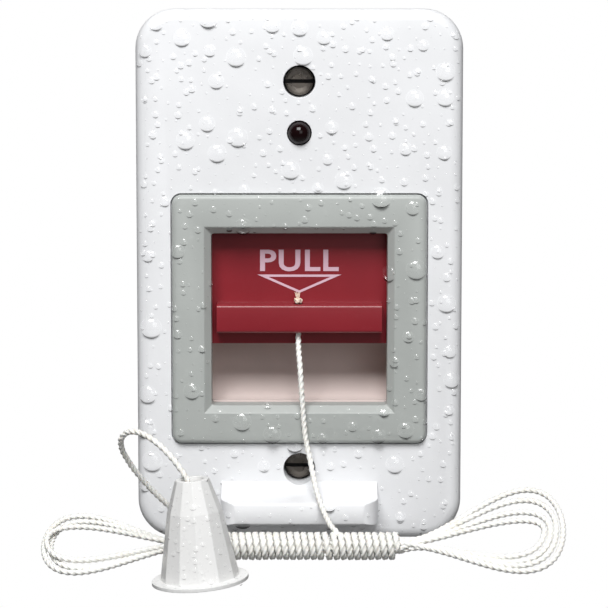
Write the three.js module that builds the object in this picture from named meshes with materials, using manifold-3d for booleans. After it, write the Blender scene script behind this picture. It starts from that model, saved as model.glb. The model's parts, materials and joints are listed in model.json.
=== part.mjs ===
// Pull cord switch: a surface cover with a red pull slide in a bezel window, a slide tray and a
// limit switch behind it, and a white pull cord wound into a hank with a bell pendant on its end.
// Millimetres, +Z up, the front faces -Y. Shapes are drawn with the wall face at y = 0, and the
// finished group is moved so that the object without its cord is centred on the origin.
import * as THREE from 'three';
import { mergeVertices } from 'three/addons/utils/BufferGeometryUtils.js';
import Module from 'manifold-3d';

const wasm = await Module();
wasm.setup();

// Driving dimensions: the cover.
const coverWidth = 69.85;
const coverHeight = 114.3;
const coverFront = -14;
const coverRear = -2;
const coverWall = 2.5;
const coverCornerRadius = 8.5;
const coverEdgeRadius = 2.6;
const mountScrewSpacing = 83.34;
const coverMiddle = coverHeight / 2;
const screwHeights = [coverMiddle - mountScrewSpacing / 2, coverMiddle + mountScrewSpacing / 2];
const lampHeight = 87.9;
const gasketFront = -1.8;

// Driving dimensions: the bezel, its window and the slide behind it.
const bezelWidth = 54.4;
const bezelHeight = 53.5;
const bezelMiddle = 48;
const bezelFront = -15.4;
const bezelSeat = -13.4;
const recessFloor = -12.8;
const windowWidth = 37.7;
const windowHeight = 37.1;
const sleeveWall = 1.6;
const sleeveRear = -9.4;
const panelHalfWidth = 20.3;
const panelFront = -9;
const panelRear = -7.2;
const panelBottom = 42.1;
const panelTop = 82.2;
const barHalfWidth = 17.75;
const barBottom = 45;
const barTop = 51.1;
const barFront = -14.2;
const slideTravel = 11;

// Driving dimensions: the tray, the housing and the electrical parts.
const trayCavityHalfWidth = 20.9;
const trayHalfWidth = 22.3;
const scoopCentreY = -9.1;
const scoopCentreZ = 43;
const scoopRadius = 13.4;
const scoopWall = 1.7;
const housingHalfWidth = 24.2;
const housingWall = 1.7;
const housingBottom = 20.6;
const housingTop = 94.4;
const housingFront = -1.6;
const housingRear = 16;
const cornerScrewX = 19;
const cornerScrewHeights = [24, 91.3];
const boardFront = 8.4;
const boardRear = 10;
const boardScrewX = 17.5;
const boardScrewHeight = 62;
const switchX = 7.9;
const leverPivotY = 0.3;
const leverPivotZ = 56.9;
const rollerY = -3.27;
const rollerZ = 70.2;
const terminalPitch = 5;

// Driving dimensions: the cord, its hank and the bell pendant.
const cordDiameter = 1.15;
const meetingGap = 0.3;
const hankY = -32.7;
const hankHeight = 2.9;
const wrapRadius = 2.85;
const wrapLeft = -22.5;
const wrapRight = 21.3;
const bellX = -19.6;
const bellY = -53.8;
const bellLean = 4.4;
const bellHeight = 20.6;
const flangeRadius = 9.65;

// The whole depth without the cord runs from the cord shelf's front to the terminal block's rear.
const shelfFront = -23;
const terminalRear = 18.6;

const deg = Math.PI / 180;
const assembly = new THREE.Group();
assembly.position.y = -(shelfFront + terminalRear) / 2;

function finish(color, roughness, metalness = 0) {
  return new THREE.MeshStandardMaterial({ color, roughness, metalness });
}

const coverWhite = finish('#f1f2f0', 0.5);
const bezelGrey = finish('#a6b2b4', 0.38);
const pullRed = finish('#a81f2d', 0.35);
const trayCream = finish('#d9cabf', 0.5);
const housingGrey = finish('#4b4f52', 0.55);
const screwSteel = finish('#55534f', 0.35, 0.9);
const platedSteel = finish('#b9bbbd', 0.3, 0.9);
const brass = finish('#b8954d', 0.35, 0.9);
const springSteel = finish('#9a9c9e', 0.3, 0.9);
const sealBlack = finish('#232426', 0.8);
const foamGrey = finish('#6b6e70', 0.95);
const boardGreen = finish('#1f5a38', 0.5);
const switchBlack = finish('#1d1e20', 0.45);
const terminalGreen = finish('#2f7a4a', 0.45);
const lampRed = finish('#4a0d10', 0.12);
const cordWhite = finish('#eceee6', 0.7);
const bellWhite = finish('#f2f3f1', 0.35);

// Turns a closed three.js geometry into a solid that can be joined and cut.
function solid(geometry) {
  const bare = geometry.clone();
  bare.deleteAttribute('normal');
  bare.deleteAttribute('uv');
  const merged = mergeVertices(bare, 1e-4);
  const vertProperties = new Float32Array(merged.attributes.position.array);
  const triVerts = new Uint32Array(merged.index.array);
  return new wasm.Manifold(new wasm.Mesh({ numProp: 3, vertProperties, triVerts }));
}

// Adds a solid to a group as one named mesh.
function addNode(group, name, body, material) {
  const mesh = body.getMesh();
  const geometry = new THREE.BufferGeometry();
  geometry.setAttribute('position', new THREE.BufferAttribute(mesh.vertProperties, 3));
  geometry.setIndex(new THREE.BufferAttribute(mesh.triVerts, 1));
  geometry.computeVertexNormals();
  const node = new THREE.Mesh(geometry, material);
  node.name = name;
  group.add(node);
}

function block(x0, x1, y0, y1, z0, z1) {
  const geometry = new THREE.BoxGeometry(x1 - x0, y1 - y0, z1 - z0);
  geometry.translate((x0 + x1) / 2, (y0 + y1) / 2, (z0 + z1) / 2);
  return solid(geometry);
}

// A round rod along Y, from y0 to y1.
function rodY(x, z, radius, y0, y1, sides = 20) {
  const geometry = new THREE.CylinderGeometry(radius, radius, y1 - y0, sides);
  geometry.translate(x, (y0 + y1) / 2, z);
  return solid(geometry);
}

// A round rod along X, from x0 to x1.
function rodX(y, z, radius, x0, x1, sides = 16) {
  const geometry = new THREE.CylinderGeometry(radius, radius, x1 - x0, sides);
  geometry.rotateZ(-90 * deg);
  geometry.translate((x0 + x1) / 2, y, z);
  return solid(geometry);
}

// A rounded rectangle in the XZ plane, centred on x = 0.
function roundedOutline(width, height, radius, middleZ) {
  const shape = new THREE.Shape();
  const right = width / 2 - radius;
  const top = middleZ + height / 2 - radius;
  const bottom = middleZ - height / 2 + radius;
  shape.absarc(right, bottom, radius, -90 * deg, 0, false);
  shape.absarc(right, top, radius, 0, 90 * deg, false);
  shape.absarc(-right, top, radius, 90 * deg, 180 * deg, false);
  shape.absarc(-right, bottom, radius, 180 * deg, 270 * deg, false);
  return shape;
}

// A plate with a rounded-rectangle outline between two depths, with sharp edges.
function plate(width, height, radius, middleZ, front, rear, curveSegments = 4) {
  const shape = roundedOutline(width, height, radius, middleZ);
  const geometry = new THREE.ExtrudeGeometry(shape, { depth: rear - front, bevelEnabled: false, curveSegments });
  geometry.rotateX(90 * deg);
  geometry.translate(0, rear, 0);
  return solid(geometry);
}

// The same plate with its front edge rounded.
function softPlate(width, height, radius, middleZ, front, rear, edge, curveSegments = 4, edgeSegments = 3) {
  const shape = roundedOutline(width - 2 * edge, height - 2 * edge, radius - edge, middleZ);
  const options = { bevelEnabled: true, bevelThickness: edge, bevelSize: edge };
  const depth = rear - front;
  const geometry = new THREE.ExtrudeGeometry(shape, {
    ...options, depth, bevelSegments: edgeSegments, curveSegments,
  });
  geometry.rotateX(90 * deg);
  geometry.translate(0, rear + edge, 0);
  const reach = Math.max(width, height);
  return solid(geometry).intersect(block(-reach, reach, front - 1, rear, middleZ - reach, middleZ + reach));
}

// A profile drawn as (y, z) points and extruded along X.
function profileX(points, x0, x1) {
  const shape = new THREE.Shape(points.map(([y, z]) => new THREE.Vector2(y, z)));
  const geometry = new THREE.ExtrudeGeometry(shape, { depth: x1 - x0, bevelEnabled: false });
  const axes = new THREE.Matrix4().makeBasis(
    new THREE.Vector3(0, 1, 0), new THREE.Vector3(0, 0, 1), new THREE.Vector3(1, 0, 0));
  geometry.applyMatrix4(axes);
  geometry.translate(x0, 0, 0);
  return solid(geometry);
}

// Points of an arc about (y, z), with the angle measured from straight down towards +Y.
function arcPoints(centreY, centreZ, radius, from, to, steps) {
  const points = [];
  for (let i = 0; i <= steps; i += 1) {
    const angle = (from + (to - from) * i / steps) * deg;
    points.push([centreY + radius * Math.sin(angle), centreZ - radius * Math.cos(angle)]);
  }
  return points;
}

// A cord stretch: an eight-sided tube along a smooth curve through hand-placed points.
function cordTube(points, steps) {
  const path = new THREE.CatmullRomCurve3(points.map((p) => new THREE.Vector3(...p)), false, 'centripetal');
  const section = new THREE.Shape();
  for (let i = 0; i < 8; i += 1) {
    const angle = (i + 0.5) * 45 * deg;
    const x = Math.cos(angle) * cordDiameter / 2;
    const y = Math.sin(angle) * cordDiameter / 2;
    if (i === 0) {
      section.moveTo(x, y);
    } else {
      section.lineTo(x, y);
    }
  }
  return solid(new THREE.ExtrudeGeometry(section, { steps, bevelEnabled: false, extrudePath: path }));
}

// The cord shelf: a lip moulded on the lower edge of the cover, with rounded front corners.
function cordShelf() {
  const halfWidth = 16.8;
  const cornerRadius = 4;
  const plan = new THREE.Shape();
  plan.moveTo(-halfWidth, coverFront + 1);
  plan.lineTo(halfWidth, coverFront + 1);
  plan.lineTo(halfWidth, shelfFront + cornerRadius);
  plan.absarc(halfWidth - cornerRadius, shelfFront + cornerRadius, cornerRadius, 0, -90 * deg, true);
  plan.absarc(-halfWidth + cornerRadius, shelfFront + cornerRadius, cornerRadius, -90 * deg, -180 * deg, true);
  const column = new THREE.ExtrudeGeometry(plan, { depth: 12, bevelEnabled: false, curveSegments: 5 });
  column.translate(0, 0, 2);
  const side = profileX([
    [coverFront + 1, 4.4], [-22.0, 4.9], [-22.7, 5.2], [shelfFront, 5.8], [shelfFront, 9.0],
    [-22.7, 9.6], [-22.0, 9.9], [-17.5, 10.4], [-15.6, 11.0], [-14.6, 12.0], [coverFront + 1, 13.6],
  ], -halfWidth - 1, halfWidth + 1);
  return solid(column).intersect(side);
}

// The cover: a moulded shell with screw bosses, the bezel recess and the cord shelf in one piece.
function frontCover() {
  const innerWidth = coverWidth - 2 * coverWall;
  const innerHeight = coverHeight - 2 * coverWall;
  const wallRear = coverFront + coverWall;
  let body = softPlate(coverWidth, coverHeight, coverCornerRadius, coverMiddle,
    coverFront, coverRear, coverEdgeRadius, 5, 4);
  body = body.subtract(plate(innerWidth, innerHeight, 6, coverMiddle, wallRear, coverRear + 1));
  body = body.add(cordShelf());
  for (const z of screwHeights) {
    body = body.add(rodY(0, z, 5.5, wallRear - 0.5, coverRear));
  }
  for (const z of cornerScrewHeights) {
    for (const side of [-1, 1]) {
      body = body.add(rodY(side * cornerScrewX, z, 2.6, wallRear - 0.5, -8.3, 12));
      body = body.subtract(rodY(side * cornerScrewX, z, 1.3, -10.8, -8, 10));
    }
  }
  for (const z of screwHeights) {
    body = body.subtract(rodY(0, z, 3.45, coverFront - 1, -6, 24));
    body = body.subtract(rodY(0, z, 2, -7, coverRear + 1));
  }
  body = body.subtract(rodY(0, lampHeight, 2.65, coverFront - 1, wallRear + 1));
  body = body.subtract(plate(bezelWidth + 0.6, bezelHeight + 0.6, 2.3, bezelMiddle, coverFront - 1, recessFloor));
  return body.subtract(plate(41.8, 41.1, 1, bezelMiddle - 0.1, coverFront, wallRear + 1));
}

// The bezel: a frame that sits in the cover's recess, with a sleeve through the window.
function bezelFrame() {
  const middle = bezelMiddle - 0.1;
  let body = softPlate(bezelWidth, bezelHeight, 2, bezelMiddle, bezelFront, bezelSeat, 0.9, 3, 3);
  const sleeveWidth = windowWidth + 2 * sleeveWall;
  const sleeveHeight = windowHeight + 2 * sleeveWall;
  body = body.add(plate(sleeveWidth, sleeveHeight, 1, middle, bezelSeat - 0.5, sleeveRear));
  body = body.subtract(plate(windowWidth, windowHeight, 0.6, middle, bezelFront - 1, sleeveRear + 1, 2));
  const lead = new THREE.CylinderGeometry(1, 1, 2.4, 4);
  lead.rotateY(45 * deg);
  lead.scale(Math.SQRT2, 1, Math.SQRT2);
  const corners = lead.attributes.position;
  for (let i = 0; i < corners.count; i += 1) {
    const grow = corners.getY(i) < 0 ? 1.7 : -0.7;
    corners.setX(i, Math.round(corners.getX(i)) * (windowWidth / 2 + grow));
    corners.setZ(i, Math.round(corners.getZ(i)) * (windowHeight / 2 + grow));
  }
  lead.translate(0, bezelFront + 1, middle);
  return body.subtract(solid(lead));
}

// A flat ring gasket under the bezel flange.
function windowSeal() {
  const ring = plate(51.5, 50.5, 2, bezelMiddle, bezelSeat + 0.1, recessFloor - 0.1, 3);
  return ring.subtract(plate(45.5, 44.5, 1.5, bezelMiddle, bezelSeat - 1, recessFloor + 1, 3));
}

// The slide tray: a channel for the slide whose lower part is a concave finger scoop.
function slideTray() {
  const sill = bezelMiddle - 0.1 - windowHeight / 2 + 0.3;
  const inner = [
    [-12.5, 27.3], [scoopCentreY - 0.05, 27.3], [scoopCentreY - 0.05, sill],
    ...arcPoints(scoopCentreY, scoopCentreZ, scoopRadius, 3, 90, 12),
    [4.3, 46], [3.6, 48], [-5.6, 52.6], [-6.9, 54], [-6.9, 83.3], [-12.5, 83.3],
  ];
  const outer = [
    [-11.2, 25.6], [-5, 25.6],
    ...arcPoints(scoopCentreY, scoopCentreZ, scoopRadius + scoopWall, 27, 90, 9),
    [6, 47], [-3.6, 54.3], [-4.9, 55.6], [-4.9, 84.8], [-11.2, 84.8],
  ];
  let body = profileX(outer, -trayHalfWidth, trayHalfWidth);
  for (const side of [-1, 1]) {
    const inside = side * 16.2;
    const outside = side * trayHalfWidth;
    const x0 = Math.min(inside, outside);
    const x1 = Math.max(inside, outside);
    body = body.add(block(x0, x1, -8, -2.2, 21.4, 28));
    body = body.add(block(x0, x1, -8, -2.2, 84, 94));
    body = body.add(rodY(side * boardScrewX, boardScrewHeight, 2.3, -5.2, boardFront - 0.1, 14));
  }
  body = body.subtract(profileX(inner, -trayCavityHalfWidth, trayCavityHalfWidth));
  body = body.subtract(block(switchX - 2.4, switchX + 2.4, -8, -3, 56, 82.6));
  for (const side of [-1, 1]) {
    body = body.subtract(block(side * 21.4 - 1.1, side * 21.4 + 1.1, -8.6, -6.2, 57.8, 70.2));
    body = body.subtract(rodY(side * boardScrewX, boardScrewHeight, 1, 2, boardFront + 1, 10));
    body = body.subtract(rodY(side * cornerScrewX, cornerScrewHeights[0], 3, -12, -8, 12));
    for (const z of cornerScrewHeights) {
      body = body.subtract(rodY(side * cornerScrewX, z, 1.4, -9, -1, 12));
    }
  }
  return body;
}

// The pull slide: a red panel with a grip bar, a bore for the cord, side notches and a rear cam.
function pullSlide() {
  let body = block(-panelHalfWidth, panelHalfWidth, panelFront, panelRear, panelBottom, panelTop);
  const radius = 0.7;
  const bar = new THREE.Shape();
  bar.moveTo(panelFront + 0.3, barBottom);
  bar.lineTo(panelFront + 0.3, barTop);
  bar.absarc(barFront + radius, barTop - radius, radius, 90 * deg, 180 * deg, false);
  bar.absarc(barFront + radius, barBottom + radius, radius, 180 * deg, 270 * deg, false);
  const outline = bar.extractPoints(3).shape.map((p) => [p.x, p.y]);
  body = body.add(profileX(outline, -barHalfWidth, barHalfWidth));
  const bore = new THREE.CylinderGeometry(1.1, 1.1, 10, 12);
  bore.rotateX(90 * deg);
  bore.translate(-0.24, -12, (barBottom + barTop) / 2);
  body = body.subtract(solid(bore));
  for (const side of [-1, 1]) {
    for (const z of [64, 64 + slideTravel]) {
      body = body.subtract(rodY(side * (panelHalfWidth + 0.25), z, 0.75, panelFront - 1, panelRear + 1, 12));
    }
  }
  const cam = profileX([
    [panelRear - 0.2, 67.4], [-4.88, 68.9], [-2.03, 82], [panelRear - 0.2, 82],
  ], switchX - 1.3, switchX + 1.3);
  return body.add(cam);
}

// A detent leaf: a thin strip in the tray wall with a rounded bead that drops into a slide notch.
function detentLeaf(side) {
  const z = 64;
  const strip = block(side * 21.45 - 0.15, side * 21.45 + 0.15, -8.4, -6.4, z - 6, z + 6);
  const bead = rodY(side * 21.15, z, 0.55, -8.4, -6.4, 10);
  return strip.add(bead);
}

// The rear housing: an open box with four screw bosses and a window for the terminals.
function rearHousing() {
  const middle = (housingBottom + housingTop) / 2;
  const height = housingTop - housingBottom;
  let body = plate(2 * housingHalfWidth, height, 2, middle, housingFront, housingRear, 3);
  body = body.subtract(plate(2 * (housingHalfWidth - housingWall), height - 2 * housingWall, 1, middle,
    housingFront - 1, housingRear - housingWall, 2));
  for (const z of cornerScrewHeights) {
    for (const side of [-1, 1]) {
      body = body.add(rodY(side * cornerScrewX, z, 2.7, housingFront, housingRear - 1, 12));
      body = body.subtract(rodY(side * cornerScrewX, z, 1.4, housingFront - 1, housingRear + 1, 12));
    }
  }
  return body.subtract(block(-11.2, 11.2, housingRear - 4, housingRear + 1, 50.5, 72.9));
}

// The foam gasket between the cover and the wall, cut out for the housing and the two screws.
function wallGasket() {
  let body = plate(coverWidth - 0.8, coverHeight - 0.8, coverCornerRadius - 0.4, coverMiddle, gasketFront, 0, 3);
  const middle = (housingBottom + housingTop) / 2;
  body = body.subtract(plate(49.4, housingTop - housingBottom + 1, 2.4, middle, gasketFront - 1, 1, 2));
  for (const z of screwHeights) {
    body = body.subtract(rodY(0, z, 2.5, gasketFront - 1, 1, 16));
  }
  return body;
}

// The circuit board, with clearance for the housing bosses and holes for every lead.
function circuitBoard() {
  let body = block(-20, 20, boardFront, boardRear, 53, 89.6);
  for (const side of [-1, 1]) {
    body = body.subtract(block(side * 18.5 - 2.7, side * 18.5 + 2.7, boardFront - 1, boardRear + 1, 88, 90.5));
    body = body.subtract(rodY(side * boardScrewX, boardScrewHeight, 1.4, boardFront - 1, boardRear + 1, 12));
    body = body.subtract(rodY(side * 1.27, lampHeight, 0.55, boardFront - 1, boardRear + 1, 8));
  }
  for (const z of [57.4, 62, 66.6]) {
    body = body.subtract(rodY(switchX, z, 0.75, boardFront - 1, boardRear + 1, 8));
  }
  return body;
}

// The limit switch body, with a plunger well and two ears that carry the lever.
function switchBody() {
  let body = block(switchX - 2.7, switchX + 2.7, 0.9, 7.4, 55.6, 68.2);
  for (const side of [-1, 1]) {
    const x = switchX + side * 2.3;
    const ear = block(x - 0.4, x + 0.4, -0.7, 1.2, 55.8, 58);
    body = body.add(ear.subtract(rodX(leverPivotY, leverPivotZ, 0.5, x - 1, x + 1, 10)));
  }
  return body.subtract(block(switchX - 1.1, switchX + 1.1, 0, 4.4, 62.1, 63.9));
}

// The lever: a bent strip with a pivot barrel at its foot and a round follower at its tip.
function switchLever() {
  const lean = Math.atan2(leverPivotY - rollerY, rollerZ - leverPivotZ);
  const acrossY = Math.cos(lean) * 0.2;
  const acrossZ = Math.sin(lean) * 0.2;
  const strip = profileX([
    [leverPivotY - acrossY, leverPivotZ - acrossZ], [leverPivotY + acrossY, leverPivotZ + acrossZ],
    [rollerY + acrossY, rollerZ + acrossZ], [rollerY - acrossY, rollerZ - acrossZ],
  ], switchX - 1.5, switchX + 1.5);
  const barrel = rodX(leverPivotY, leverPivotZ, 0.55, switchX - 1.6, switchX + 1.6, 10);
  const stubs = rodX(leverPivotY, leverPivotZ, 0.35, switchX - 2.6, switchX + 2.6, 8);
  return strip.add(barrel).add(stubs).add(rodX(rollerY, rollerZ, 1, switchX - 1.5, switchX + 1.5, 14));
}

function switchPlunger() {
  return block(switchX - 0.85, switchX + 0.85, -0.8, 2.6, 62.3, 63.7);
}

// The lamp: a domed lens on a flanged base, pushed into the cover from behind.
function lampLens() {
  const radius = 2.5;
  const domeBase = -13.5;
  const profile = [new THREE.Vector2(0, -7.3), new THREE.Vector2(2.9, -7.3), new THREE.Vector2(2.9, -8.3)];
  profile.push(new THREE.Vector2(radius, -8.3));
  for (let i = 0; i <= 6; i += 1) {
    const angle = i * 15 * deg;
    const across = i === 6 ? 0 : radius * Math.cos(angle);
    profile.push(new THREE.Vector2(across, domeBase - radius * Math.sin(angle)));
  }
  const geometry = new THREE.LatheGeometry(profile.reverse(), 20);
  const body = solid(geometry);
  return body.translate(0, 0, lampHeight);
}

// The terminal block: four wells for clamp screws and four wire entries in its lower face.
function terminalBlock() {
  let body = block(-10.3, 10.3, boardRear + 0.2, terminalRear, 62, 72);
  for (let i = 0; i < 4; i += 1) {
    const x = (i - 1.5) * terminalPitch;
    body = body.subtract(rodY(x, 68.4, 1.75, 14.8, terminalRear + 1, 12));
    body = body.subtract(block(x - 1.4, x + 1.4, 12.4, 16.2, 61, 66));
  }
  return body;
}

// A slotted screw along Y with its head at the rear, from the head's face to the shank's tip.
function slottedScrew(x, z, headRadius, shankRadius, headRear, headFront, tip, slotWidth) {
  let body = rodY(x, z, headRadius, headFront, headRear, 14);
  body = body.add(rodY(x, z, shankRadius, tip, headFront + 0.1, 10));
  return body.subtract(block(x - headRadius - 1, x + headRadius + 1, headRear - 0.5, headRear + 1,
    z - slotWidth / 2, z + slotWidth / 2));
}

// A mounting screw: an oval slotted head at the front and a long shank into the wall box.
function mountingScrew(z) {
  const profile = [[0, 14], [1.3, 14], [1.7, 13], [1.7, -7.2], [3.1, -7.2], [3.1, -8.2], [2.5, -8.9],
    [1.4, -9.4], [0, -9.6]].map(([r, y]) => new THREE.Vector2(r, y));
  const body = solid(new THREE.LatheGeometry(profile.reverse(), 20)).translate(0, 0, z);
  return body.subtract(block(-4, 4, -10.5, -8.5, z - 0.5, z + 0.5));
}

// A sealing washer under a mounting screw's head.
function screwSeal(z) {
  return rodY(0, z, 3.3, -7.1, -6.05, 20).subtract(rodY(0, z, 1.9, -8, -5, 16));
}

// The bell pendant: a faceted, stepped cone on a thin round flange, hollow from below, with a cup
// at the top whose floor has a small bore for the cord.
function bellPendant() {
  const outer = [[0, 0.4], [7.85, 0.4], [7.75, 1.6], [5.5, 14.2], [3.4, bellHeight], [0, bellHeight]];
  const cone = new THREE.LatheGeometry(outer.map(([r, z]) => new THREE.Vector2(r, z)), 12);
  cone.rotateX(90 * deg);
  cone.rotateZ(2 * deg);
  const flangeProfile = [[0, 0], [flangeRadius, 0], [flangeRadius, 0.75], [0, 0.75]];
  const flange = new THREE.LatheGeometry(flangeProfile.map(([r, z]) => new THREE.Vector2(r, z)), 36);
  flange.rotateX(90 * deg);
  const hollowProfile = [[0, -1], [6.5, -1], [6.4, 1.2], [4.2, 13.4], [0, 13.4]];
  const hollow = new THREE.LatheGeometry(hollowProfile.map(([r, z]) => new THREE.Vector2(r, z)), 20);
  hollow.rotateX(90 * deg);
  const cupProfile = [[0, 15.4], [1.9, 15.4], [2.45, bellHeight + 1], [0, bellHeight + 1]];
  const cup = new THREE.LatheGeometry(cupProfile.map(([r, z]) => new THREE.Vector2(r, z)), 16);
  cup.rotateX(90 * deg);
  const bore = new THREE.CylinderGeometry(1, 1, 6, 10);
  bore.rotateX(90 * deg);
  bore.translate(0, 0, 14.5);
  return solid(cone).add(solid(flange)).subtract(solid(hollow)).subtract(solid(cup)).subtract(solid(bore));
}

// A cord knot: a small, slightly uneven ball.
function knot(radius, x, y, z) {
  const geometry = new THREE.IcosahedronGeometry(radius, 1);
  geometry.scale(1, 0.9, 0.95);
  geometry.translate(x, y, z);
  return solid(geometry);
}

// The outer shape of a fan of loops: a flat pad with a round end, tilted back and cut at z = 0.
function loopPad(start, length, width, narrow, thickness, tilt, centreY, centreZ, side) {
  const shape = new THREE.Shape();
  const end = width / 2;
  shape.moveTo(0, -narrow / 2);
  shape.lineTo(length - end, -end);
  shape.absarc(length - end, 0, end, -90 * deg, 90 * deg, false);
  shape.lineTo(0, narrow / 2);
  const geometry = new THREE.ExtrudeGeometry(shape, { depth: thickness, bevelEnabled: false, curveSegments: 8 });
  geometry.translate(0, 0, -thickness / 2);
  if (side < 0) {
    geometry.rotateY(180 * deg);
  }
  geometry.rotateX(tilt * deg);
  geometry.translate(start, centreY, centreZ);
  return solid(geometry).intersect(block(-90, 90, -70, 0, 0.05, 40));
}

// The cord's drop: out of the slide bar, over the window sill and the shelf, onto the hank.
const dropRoute = [
  [-0.24, -12, 50.9], [-0.24, -12, 47], [-0.24, -12, 44.6], [-0.2, -12.5, 42.7], [-0.1, -13.7, 41],
  [0.05, -15, 39.3], [0.2, -15.95, 37.2], [0.35, -16.4, 34.6], [0.55, -16.55, 31.4], [0.75, -16.6, 28.5],
  [1, -16.6, 25.6], [1.28, -16.7, 23], [1.75, -16.95, 20.6], [2.38, -17.9, 17.9], [2.95, -19.7, 15.2],
  [3.6, -21.9, 12.6], [4.4, -24, 10.4], [5.2, -26.2, 8.7], [6.1, -28.6, 7.3], [6.7, -30.4, 6.6],
];

// The cord's tail: off the hank's left end, up in an arch, and down into the bell's cup.
const tailRoute = [
  [-21.6, -32.4, 6.7], [-23, -32.8, 7.6], [-25, -33.7, 9.5], [-27.4, -35.2, 12.3], [-30.1, -37, 15.4],
  [-32.6, -39, 18.8], [-34.7, -41.4, 22.4], [-35.9, -44, 25.8], [-35.8, -45.7, 27.8], [-34.5, -47.2, 29.4],
  [-32.2, -49, 29.8], [-29.2, -51, 28.7], [-25.7, -52.7, 25.9], [-23.6, -53.4, 23.4], [-21.9, -53.7, 20.6],
  [-21.1, -53.8, 17.6], [-20.8, -53.8, 16], [-20.65, -53.8, 14.1],
];

const nodes = [
  ['front_cover', frontCover(), coverWhite],
  ['bezel_frame', bezelFrame(), bezelGrey],
  ['window_seal', windowSeal(), sealBlack],
  ['slide_tray', slideTray(), trayCream],
  ['rear_housing', rearHousing(), housingGrey],
  ['wall_gasket', wallGasket(), foamGrey],
  ['circuit_board', circuitBoard(), boardGreen],
  ['switch_body', switchBody(), switchBlack],
  ['switch_lever', switchLever(), springSteel],
  ['switch_plunger', switchPlunger(), lampRed],
  ['terminal_block', terminalBlock(), terminalGreen],
  ['lamp_lens', lampLens(), lampRed],
  ['pull_slide', pullSlide(), pullRed],
  ['slide_knot', knot(1.35, -0.24, -12, barTop + 1.35), cordWhite],
];
for (const [name, body, material] of nodes) {
  addNode(assembly, name, body, material);
}

const sides = [['left', -1], ['right', 1]];
for (const [label, side] of sides) {
  const lead = block(side * 1.27 - 0.25, side * 1.27 + 0.25, -7.2, 11.2, lampHeight - 0.25, lampHeight + 0.25);
  addNode(assembly, `lamp_lead_${label}`, lead, platedSteel);
  addNode(assembly, `detent_spring_${label}`, detentLeaf(side), springSteel);
  const boardScrew = slottedScrew(side * boardScrewX, boardScrewHeight, 2.1, 0.8, 11.3, 10.1, 3, 0.6);
  addNode(assembly, `board_screw_${label}`, boardScrew, platedSteel);
}

[57.4, 62, 66.6].forEach((z, i) => {
  const pin = block(switchX - 0.4, switchX + 0.4, 7.5, boardRear + 0.1, z - 0.25, z + 0.25);
  addNode(assembly, `switch_terminal_${i + 1}`, pin, brass);
});

for (let i = 0; i < 4; i += 1) {
  const x = (i - 1.5) * terminalPitch;
  const clamp = slottedScrew(x, 68.4, 1.5, 0.9, 17.8, 16.4, 15, 0.5);
  addNode(assembly, `terminal_screw_${i + 1}`, clamp, platedSteel);
}

let cornerCount = 1;
for (const z of cornerScrewHeights) {
  for (const side of [-1, 1]) {
    const long = slottedScrew(side * cornerScrewX, z, 2.3, 1.1, 17.5, 16.05, -10.2, 0.6);
    addNode(assembly, `rear_screw_${cornerCount}`, long, platedSteel);
    cornerCount += 1;
  }
}

[['bottom', screwHeights[0]], ['top', screwHeights[1]]].forEach(([label, z]) => {
  addNode(assembly, `mounting_screw_${label}`, mountingScrew(z), screwSteel);
  addNode(assembly, `screw_seal_${label}`, screwSeal(z), sealBlack);
});

addNode(assembly, 'cord_drop', cordTube(dropRoute, 36), cordWhite);
addNode(assembly, 'cord_tail', cordTube(tailRoute, 34), cordWhite);
addNode(assembly, 'cord_wrap', rodX(hankY, hankHeight, wrapRadius, wrapLeft, wrapRight, 20), cordWhite);
const rightPad = loopPad(wrapRight + meetingGap, 33.8, 23, 5.4, 3.6, 34, hankY - 0.6, 7, 1);
addNode(assembly, 'cord_loops_right', rightPad, cordWhite);
const leftPad = loopPad(wrapLeft - meetingGap, 30.6, 21.5, 5.4, 3, 18, hankY - 1.6, 4.2, -1);
addNode(assembly, 'cord_loops_left', leftPad, cordWhite);

// The bell and its knot stand on their own axis, which leans to the left about the flange's edge.
const bellGroup = new THREE.Group();
bellGroup.position.set(bellX, bellY, flangeRadius * Math.sin(bellLean * deg) + 0.02);
bellGroup.rotation.y = -bellLean * deg;
addNode(bellGroup, 'bell_pendant', bellPendant(), bellWhite);
addNode(bellGroup, 'bell_knot', knot(1.75, 0, 0, 11.2), cordWhite);
assembly.add(bellGroup);

export default assembly;
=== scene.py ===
import json
import math

import bmesh
import bpy
import numpy as np
from mathutils import Matrix, Vector

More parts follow.
